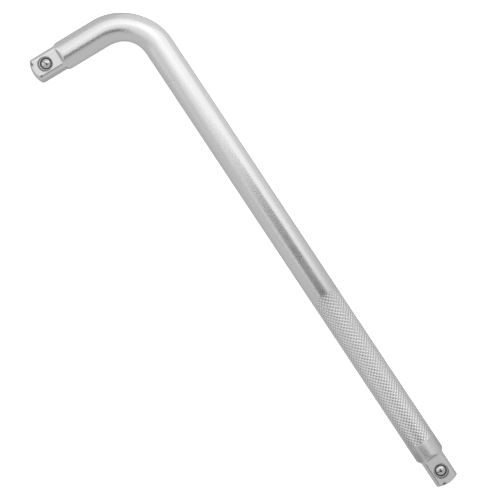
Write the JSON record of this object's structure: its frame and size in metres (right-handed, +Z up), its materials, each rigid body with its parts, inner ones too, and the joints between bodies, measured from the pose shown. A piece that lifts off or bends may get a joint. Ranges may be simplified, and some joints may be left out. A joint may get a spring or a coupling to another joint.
{
  "type": "l-handle socket wrench",
  "caption": "L-shaped steel handle for sockets: a bent round bar with a cross-knurled grip and a square drive with a sprung ball on each end.",
  "frame": {"origin": "on the surface that the tool lies on, under the middle of its bounding box", "axes": "+X from the long arm's drive towards the bend, +Y from the long arm towards the short arm's tip, +Z up, the way the two detent balls face"},
  "size_m": [0.3098, 0.0719, 0.0161],
  "materials": {
    "satin_chrome": "satin chrome plate with a fine matt grain",
    "polished_ball": "polished bearing steel",
    "spring_wire": "drawn spring wire"
  },
  "bodies": {
    "handle": {"bent_bar": "satin_chrome", "short_arm_detent_spring": "spring_wire", "long_arm_detent_spring": "spring_wire"},
    "short_arm_ball": {"short_arm_detent_ball": "polished_ball"},
    "long_arm_ball": {"long_arm_detent_ball": "polished_ball"}
  },
  "joints": [
    {"name": "short_arm_ball_press", "type": "slide", "parent": "handle", "child": "short_arm_ball", "axis": [0, 0, -1], "range_m": [0, 0.00133], "stiffness_N_per_m": 4400, "deforming": ["short_arm_detent_spring"]},
    {"name": "long_arm_ball_press", "type": "slide", "parent": "handle", "child": "long_arm_ball", "axis": [0, 0, -1], "range_m": [0, 0.00133], "stiffness_N_per_m": 4400, "deforming": ["long_arm_detent_spring"]}
  ]
}
